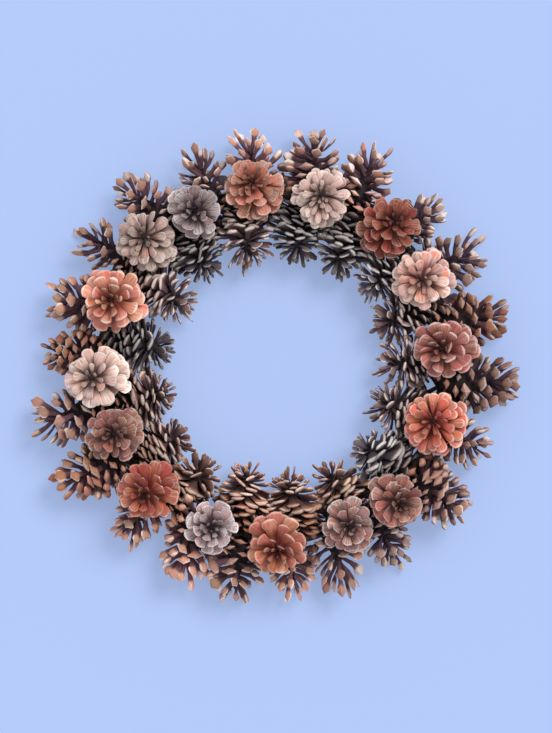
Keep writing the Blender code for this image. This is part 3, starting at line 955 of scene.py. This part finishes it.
tongue = loft("tongue_scale", TONGUE)
mark_scale(tongue, TONGUE, roundness=0.10, dish=0.25, rim_from=0.8)
TONGUE_FINISH = {
    "Dark Root And Shade Reach": 0.56,
    "Dark Root And Shade Fade": 0.32,
    "Rim Start": 0.25,
    "Rim Fade": 0.25,
    "Rim Least": 0.60,
    "Blush Share": 0.8,
    "Bloom Share": 0.36,
    "Streaking": 0.3,
}
inner_finishes = {
    tone: scale_material(f"{tone}_scales", colours, TONGUE_FINISH)
    for tone, colours in INNER_TONES.items()
}
for number, cone in enumerate(inner_row, 1):
    habit = BROAD if number in BROAD_SCALED else BRUSH
    dressed = dress_cone(cone, tongue, habit, inner_finishes[cone.tone], f"open_{cone.node}")

# The top row: sixteen open cones, glued tips up, that read as flowers. Some are stained terracotta
# or salmon and some bleached beige or silver, and their broad scales have thin pale rims.

# A petal scale, the same values as a finger's
PETAL = (
    (0.00, 0.40, 0.70, 0.00),
    (0.30, 0.56, 0.85, 0.00),
    (0.56, 0.80, 1.00, 0.00),
    (0.76, 1.00, 1.10, 0.02),
    (0.88, 0.97, 1.10, 0.08),
    (0.95, 0.80, 0.95, 0.18),
    (1.00, 0.42, 0.55, 0.32),
)

# Scales like thumbs, scales that cup upwards, and flat ones that fan out
THUMB = {
    "count": 42,
    "root": (0.06, 0.14, 0.22, 0.36, 0.50, 0.60, 0.66),
    "core": (0.22, 0.21, 0.20, 0.17, 0.13, 0.10, 0.06),
    "reach": (1.06, 1.12, 1.10, 0.94, 0.68, 0.38, 0.14),
    "rise": (0.02, 0.08, 0.20, 0.46, 0.76, 0.88, 0.74),
    "width": (0.42, 0.46, 0.46, 0.43, 0.35, 0.22, 0.10),
    "thickness": (0.11, 0.12, 0.13, 0.14, 0.13, 0.10, 0.06),
    "bow": (0.06, 0.08, 0.10, 0.12, 0.12, 0.10, 0.05),
    "light": (0.92, 1.00, 1.00, 1.00, 0.95, 0.60, 0.25),
    "stem": (0.00, 0.00, 0.00, 0.05, 0.15, 0.30, 0.40),
    "unevenness": 0.085,
}
CUP = THUMB | {
    "rise": (0.02, 0.08, 0.20, 0.44, 0.70, 0.82, 0.70),
    "width": (0.42, 0.48, 0.48, 0.44, 0.36, 0.22, 0.10),
    "thickness": (0.11, 0.12, 0.13, 0.13, 0.12, 0.09, 0.06),
    "bow": (0.05, 0.06, 0.08, 0.10, 0.12, 0.10, 0.05),
    "light": (0.92, 1.00, 1.00, 1.00, 0.92, 0.55, 0.22),
    "stem": (0.00, 0.00, 0.00, 0.10, 0.25, 0.35, 0.40),
}
FAN = THUMB | {
    "root": (0.06, 0.14, 0.22, 0.36, 0.50, 0.60, 0.68),
    "reach": (1.00, 1.10, 1.12, 1.02, 0.84, 0.54, 0.18),
    "rise": (0.02, 0.10, 0.24, 0.42, 0.58, 0.70, 0.72),
    "width": (0.42, 0.46, 0.47, 0.44, 0.37, 0.24, 0.11),
    "thickness": (0.10, 0.11, 0.12, 0.13, 0.12, 0.09, 0.06),
    "bow": (0.02, 0.02, 0.00, -0.03, -0.04, 0.00, 0.02),
    "light": (0.95, 1.00, 1.00, 1.00, 0.96, 0.70, 0.30),
    "unevenness": 0.08,
}
FLOWER_HABITS = {"thumb": THUMB, "cup": CUP, "fan": FAN}

# How deep the upper side of each habit's petals is dished, in shares of their thickness
HOLLOWS = {"thumb": 0.30, "cup": 0.80, "fan": 0.45}
FLOWER_TONES = {
    "terracotta": {
        "Dark Root And Shade": (0.155, 0.024, 0.015),
        "Blade": (0.44, 0.104, 0.068),
        "Blush": (0.54, 0.095, 0.036),
        "Bloom": (0.50, 0.25, 0.21),
        "Rim": (0.67, 0.41, 0.335),
        "Back": (0.26, 0.11, 0.08),
    },
    "faded": {
        "Dark Root And Shade": (0.130, 0.036, 0.028),
        "Blade": (0.44, 0.145, 0.115),
        "Blush": (0.52, 0.135, 0.078),
        "Bloom": (0.52, 0.32, 0.29),
        "Rim": (0.70, 0.50, 0.46),
        "Back": (0.26, 0.12, 0.09),
    },
    "salmon": {
        "Dark Root And Shade": (0.195, 0.048, 0.028),
        "Blade": (0.50, 0.190, 0.128),
        "Blush": (0.62, 0.17, 0.075),
        "Bloom": (0.57, 0.37, 0.32),
        "Rim": (0.66, 0.46, 0.385),
        "Back": (0.30, 0.15, 0.11),
    },
    "coral": {
        "Dark Root And Shade": (0.175, 0.036, 0.021),
        "Blade": (0.50, 0.168, 0.104),
        "Blush": (0.61, 0.165, 0.062),
        "Bloom": (0.55, 0.31, 0.26),
        "Rim": (0.66, 0.43, 0.35),
        "Back": (0.29, 0.13, 0.09),
    },
    "beige": {
        "Dark Root And Shade": (0.115, 0.066, 0.056),
        "Blade": (0.52, 0.355, 0.305),
        "Blush": (0.54, 0.28, 0.20),
        "Bloom": (0.75, 0.63, 0.575),
        "Rim": (0.72, 0.59, 0.515),
        "Back": (0.34, 0.22, 0.17),
    },
    "umber": {
        "Dark Root And Shade": (0.080, 0.030, 0.028),
        "Blade": (0.28, 0.115, 0.092),
        "Blush": (0.38, 0.12, 0.068),
        "Bloom": (0.42, 0.28, 0.25),
        "Rim": (0.58, 0.42, 0.37),
        "Back": (0.22, 0.11, 0.085),
    },
    "dusk": {
        "Dark Root And Shade": (0.070, 0.032, 0.034),
        "Blade": (0.31, 0.165, 0.150),
        "Blush": (0.40, 0.145, 0.100),
        "Bloom": (0.50, 0.39, 0.37),
        "Rim": (0.66, 0.56, 0.53),
        "Back": (0.23, 0.13, 0.11),
    },
    "rose": {
        "Dark Root And Shade": (0.150, 0.055, 0.045),
        "Blade": (0.54, 0.320, 0.270),
        "Blush": (0.60, 0.22, 0.13),
        "Bloom": (0.68, 0.53, 0.48),
        "Rim": (0.70, 0.54, 0.475),
        "Back": (0.32, 0.18, 0.14),
    },
    "silver": {
        "Dark Root And Shade": (0.050, 0.026, 0.034),
        "Blade": (0.33, 0.245, 0.245),
        "Blush": (0.36, 0.20, 0.18),
        "Bloom": (0.64, 0.58, 0.58),
        "Rim": (0.70, 0.64, 0.62),
        "Back": (0.24, 0.17, 0.155),
    },
}

petals = {}
for kind, hollow in HOLLOWS.items():
    petals[kind] = loft(f"{kind}_petal", PETAL)
    mark_scale(petals[kind], PETAL, roundness=0.03, dish=hollow, rim_from=0.5)
PETAL_FINISH = {
    "Dark Root And Shade Reach": 0.32,
    "Dark Root And Shade Fade": 0.50,
    "Rim Start": 0.50,
    "Rim Fade": 0.25,
    "Rim Least": 0.65,
    "Blush Share": 0.8,
    "Bloom Share": 0.50,
    "Streaking": 0.36,
}
flower_finishes = {
    tone: scale_material(f"{tone}_petals", colours, PETAL_FINISH)
    for tone, colours in FLOWER_TONES.items()
}

# A habit's widths suit its own number of scales, and a cone with more of them has narrower ones.
for cone, (*_, kind, count, _) in zip(top_row, FLOWERS):
    habit = dict(FLOWER_HABITS[kind])
    narrower = math.sqrt(habit["count"] / count)
    habit["width"] = [narrower * width for width in habit["width"]]
    habit["count"] = count
    dressed = dress_cone(cone, petals[kind], habit, flower_finishes[cone.tone], f"open_{cone.node}")

for pattern in (finger, tongue, *petals.values()):
    bpy.data.objects.remove(pattern)

# The table that the wreath lies on: a plain pale blue sheet of acrylic, matt and lit from below, so
# that shadows on it are faint. It is wide enough to fill every view.
FLOOR_SIZE = 6.0
FLOOR_BLUE = (0.19, 0.245, 0.39)
FLOOR_GLOW = (0.231, 0.296, 0.466)
FLOOR_GLOW_STRENGTH = 1.0
FLOOR_ROUGHNESS = 0.9
FLOOR_GLOSS = 0.1
deselect_all()
bpy.ops.mesh.primitive_plane_add(size=FLOOR_SIZE)
floor = bpy.context.object
floor.name = "table_top"
table = bpy.data.materials.new("pale_blue_sheet")
table.use_nodes = True
table_shader = table.node_tree.nodes["Principled BSDF"]
table_shader.inputs["Base Color"].default_value = (*FLOOR_BLUE, 1)
table_shader.inputs["Roughness"].default_value = FLOOR_ROUGHNESS
table_shader.inputs["Specular IOR Level"].default_value = FLOOR_GLOSS
table_shader.inputs["Emission Color"].default_value = (*FLOOR_GLOW, 1)
table_shader.inputs["Emission Strength"].default_value = FLOOR_GLOW_STRENGTH
floor.data.materials.append(table)

# The light: one broad window from the upper right of the photo, and an even pale surround that
# keeps the shadows between the scales soft.
KEY_FROM = Vector((0.55, 0.60, 1.0))
KEY_SPREAD = math.radians(28)
KEY_STRENGTH = 2.2
SURROUND = (0.93, 0.95, 1.0)
SURROUND_STRENGTH = 0.74
key_light = bpy.data.lights.new("window_light", "SUN")
key_light.angle = KEY_SPREAD
key_light.energy = KEY_STRENGTH
key = bpy.data.objects.new("window_light", key_light)
key.rotation_euler = (-KEY_FROM).to_track_quat("-Z", "Y").to_euler()
bpy.context.scene.collection.objects.link(key)
world = bpy.data.worlds.new("surround")
world.use_nodes = True
world.node_tree.nodes["Background"].inputs["Color"].default_value = (*SURROUND, 1)
world.node_tree.nodes["Background"].inputs["Strength"].default_value = SURROUND_STRENGTH
bpy.context.scene.world = world
bpy.context.scene.view_settings.view_transform = "Standard"

# The camera: straight above the middle of the wreath, far enough off for nearly no perspective. A
# pixel of the photo has its real size at the height of the side cones.
PHOTO_HEIGHT = 733
PIXEL = 0.7317 * MM
SENSOR = 36.0
CAMERA_HEIGHT = 2.4
MEASURED_HEIGHT = 0.02
camera_data = bpy.data.cameras.new("camera")
camera_data.sensor_width = SENSOR
camera_data.lens = SENSOR * (CAMERA_HEIGHT - MEASURED_HEIGHT) / (PHOTO_HEIGHT * PIXEL)
camera = bpy.data.objects.new("camera", camera_data)
camera.location = (0, 0, CAMERA_HEIGHT)
bpy.context.scene.collection.objects.link(camera)
bpy.context.scene.camera = camera
